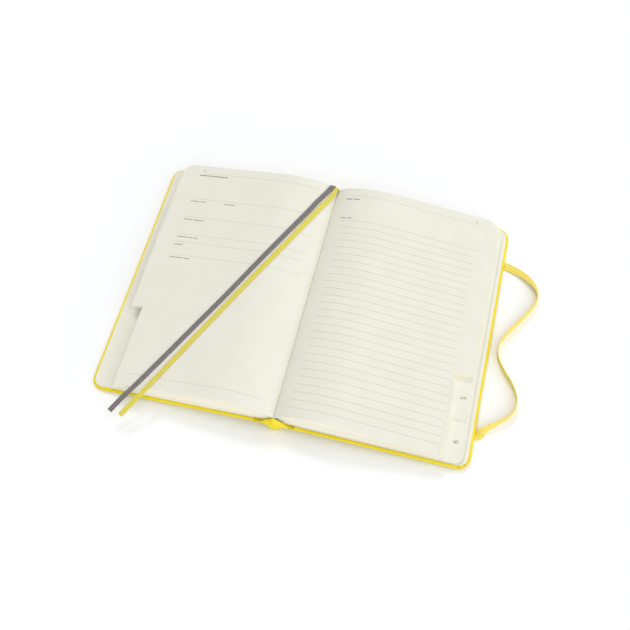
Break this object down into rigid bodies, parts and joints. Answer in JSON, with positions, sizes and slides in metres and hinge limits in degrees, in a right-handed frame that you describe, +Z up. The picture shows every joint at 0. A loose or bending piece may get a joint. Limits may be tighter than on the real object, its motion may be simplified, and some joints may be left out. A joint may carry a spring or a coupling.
{
  "type": "journal",
  "caption": "Thick hard-cover journal lying open, with a flexible spine, step-cut index tabs, two ribbon markers, an elastic closure and a back pocket.",
  "frame": {"origin": "on the table under the middle of the spine, halfway between head and tail", "axes": "+X across the open book to the right, towards the back cover's fore-edge; +Y along the spine towards the head of the pages; +Z up from the table"},
  "size_m": [0.3175, 0.2311, 0.0279],
  "materials": {
    "cover_cloth": "coated book cloth, matt with a fine grain",
    "board": "grey binder's board",
    "page_paper": "uncoated ivory writing paper",
    "endpaper": "plain ivory card-weight paper",
    "gusset_cloth": "woven tan cloth",
    "gauze": "open woven gauze",
    "thread": "white waxed thread",
    "elastic": "woven elastic with fine lengthwise ribs",
    "grey_ribbon": "woven grosgrain ribbon",
    "yellow_ribbon": "woven grosgrain ribbon"
  },
  "bodies": {
    "back_cover": {"back_cover_cloth": "cover_cloth", "back_board": "board", "back_pastedown": "endpaper", "back_flyleaf": "endpaper", "pocket_panel": "endpaper", "pocket_gusset_head": "gusset_cloth", "pocket_gusset_tail": "gusset_cloth", "elastic_end_head": "elastic", "elastic_end_tail": "elastic"},
    "spine": {"spine_cloth": "cover_cloth", "spine_lining": "endpaper", "spine_mull": "gauze", "back_joint_cloth": "cover_cloth", "front_joint_cloth": "cover_cloth", "grey_ribbon_root": "grey_ribbon", "yellow_ribbon_root": "yellow_ribbon", "sewing_thread_1": "thread", "sewing_thread_2": "thread", "sewing_thread_3": "thread", "sewing_thread_4": "thread", "sewing_thread_5": "thread", "left_signature_fold_1": "page_paper", "left_signature_fold_2": "page_paper", "left_signature_fold_3": "page_paper", "left_signature_fold_4": "page_paper", "left_signature_fold_5": "page_paper", "left_signature_fold_6": "page_paper", "right_signature_fold_1": "page_paper", "right_signature_fold_2": "page_paper", "right_signature_fold_3": "page_paper", "right_signature_fold_4": "page_paper", "right_signature_fold_5": "page_paper"},
    "front_cover": {"front_cover_cloth": "cover_cloth", "front_board": "board", "front_pastedown": "endpaper", "front_flyleaf": "endpaper"},
    "left_leaves_1": {"left_signature_1": "page_paper"},
    "left_leaves_2": {"left_signature_2": "page_paper"},
    "left_leaves_3": {"left_signature_3": "page_paper"},
    "left_leaves_4": {"left_signature_4": "page_paper"},
    "left_leaves_5": {"left_signature_5": "page_paper"},
    "left_leaves_6": {"left_signature_6": "page_paper", "grey_ribbon_lying": "grey_ribbon", "yellow_ribbon_lying": "yellow_ribbon"},
    "right_leaves_1": {"right_signature_1": "page_paper"},
    "right_leaves_2": {"right_signature_2": "page_paper"},
    "right_leaves_3": {"right_signature_3": "page_paper"},
    "right_leaves_4": {"right_signature_4": "page_paper"},
    "right_leaves_5": {"right_signature_5": "page_paper"},
    "grey_ribbon_end": {"grey_ribbon_tail": "grey_ribbon"},
    "yellow_ribbon_end": {"yellow_ribbon_tail": "yellow_ribbon"},
    "elastic": {"elastic_band": "elastic"}
  },
  "joints": [
    {"name": "spine_fold", "type": "hinge", "parent": "back_cover", "child": "spine", "pos_m": [0.01206, 0, 0.00825], "axis": [0, 1, 0], "range_deg": [0, 92.59], "deforming": ["back_joint_cloth"]},
    {"name": "front_cover_hinge", "type": "hinge", "parent": "spine", "child": "front_cover", "pos_m": [-0.01207, 0, 0.00825], "axis": [0, 1, 0], "range_deg": [0, 93.05], "deforming": ["front_joint_cloth"]},
    {"name": "left_leaves_1_turn", "type": "hinge", "parent": "spine", "child": "left_leaves_1", "pos_m": [-0.00982, 0, 0.01062], "axis": [0, 1, 0], "range_deg": [0, 93.06], "deforming": ["left_signature_fold_1"]},
    {"name": "left_leaves_2_turn", "type": "hinge", "parent": "spine", "child": "left_leaves_2", "pos_m": [-0.01007, 0, 0.01274], "axis": [0, 1, 0], "range_deg": [0, 94.03], "deforming": ["left_signature_fold_2"]},
    {"name": "left_leaves_3_turn", "type": "hinge", "parent": "spine", "child": "left_leaves_3", "pos_m": [-0.01027, 0, 0.01484], "axis": [0, 1, 0], "range_deg": [0, 95], "deforming": ["left_signature_fold_3"]},
    {"name": "left_leaves_4_turn", "type": "hinge", "parent": "spine", "child": "left_leaves_4", "pos_m": [-0.01042, 0, 0.01692], "axis": [0, 1, 0], "range_deg": [0, 95.97], "deforming": ["left_signature_fold_4"]},
    {"name": "left_leaves_5_turn", "type": "hinge", "parent": "spine", "child": "left_leaves_5", "pos_m": [-0.01053, 0, 0.01898], "axis": [0, 1, 0], "range_deg": [0, 96.94], "deforming": ["left_signature_fold_5"]},
    {"name": "left_leaves_6_turn", "type": "hinge", "parent": "spine", "child": "left_leaves_6", "pos_m": [-0.01059, 0, 0.02102], "axis": [0, 1, 0], "range_deg": [0, 97.91], "deforming": ["left_signature_fold_6", "grey_ribbon_root", "yellow_ribbon_root"]},
    {"name": "right_leaves_1_turn", "type": "hinge", "parent": "spine", "child": "right_leaves_1", "pos_m": [0.00976, 0, 0.01066], "axis": [0, -1, 0], "range_deg": [0, 92.6], "deforming": ["right_signature_fold_1"]},
    {"name": "right_leaves_2_turn", "type": "hinge", "parent": "spine", "child": "right_leaves_2", "pos_m": [0.01015, 0, 0.01339], "axis": [0, -1, 0], "range_deg": [0, 93.93], "deforming": ["right_signature_fold_2"]},
    {"name": "right_leaves_3_turn", "type": "hinge", "parent": "spine", "child": "right_leaves_3", "pos_m": [0.01047, 0, 0.01608], "axis": [0, -1, 0], "range_deg": [0, 95.26], "deforming": ["right_signature_fold_3"]},
    {"name": "right_leaves_4_turn", "type": "hinge", "parent": "spine", "child": "right_leaves_4", "pos_m": [0.01072, 0, 0.01872], "axis": [0, -1, 0], "range_deg": [0, 96.58], "deforming": ["right_signature_fold_4"]},
    {"name": "right_leaves_5_turn", "type": "hinge", "parent": "spine", "child": "right_leaves_5", "pos_m": [0.01091, 0, 0.02133], "axis": [0, -1, 0], "range_deg": [0, 97.91], "deforming": ["right_signature_fold_5"]},
    {"name": "elastic_swing", "type": "hinge", "parent": "back_cover", "child": "elastic", "pos_m": [0.1425, 0, 0.0185], "axis": [0, -1, 0], "range_deg": [0, 180]},
    {"name": "grey_ribbon_lift", "type": "hinge", "parent": "left_leaves_6", "child": "grey_ribbon_end", "pos_m": [-0.1061, -0.1044, 0.0185], "axis": [-0.8419, 0.5397, 0], "range_deg": [0, 60]},
    {"name": "yellow_ribbon_lift", "type": "hinge", "parent": "left_leaves_6", "child": "yellow_ribbon_end", "pos_m": [-0.09655, -0.1044, 0.01983], "axis": [-0.8808, 0.4734, 0], "range_deg": [0, 60]}
  ],
  "couplings": [
    {"joint": "left_leaves_1_turn", "follows": "front_cover_hinge", "ratio": 1},
    {"joint": "left_leaves_2_turn", "follows": "front_cover_hinge", "ratio": 1.0104},
    {"joint": "left_leaves_3_turn", "follows": "front_cover_hinge", "ratio": 1.0208},
    {"joint": "left_leaves_4_turn", "follows": "front_cover_hinge", "ratio": 1.0313},
    {"joint": "left_leaves_5_turn", "follows": "front_cover_hinge", "ratio": 1.0417},
    {"joint": "left_leaves_6_turn", "follows": "front_cover_hinge", "ratio": 1.0521},
    {"joint": "right_leaves_1_turn", "follows": "spine_fold", "ratio": 1},
    {"joint": "right_leaves_2_turn", "follows": "spine_fold", "ratio": 1.0143},
    {"joint": "right_leaves_3_turn", "follows": "spine_fold", "ratio": 1.0287},
    {"joint": "right_leaves_4_turn", "follows": "spine_fold", "ratio": 1.043},
    {"joint": "right_leaves_5_turn", "follows": "spine_fold", "ratio": 1.0573}
  ]
}
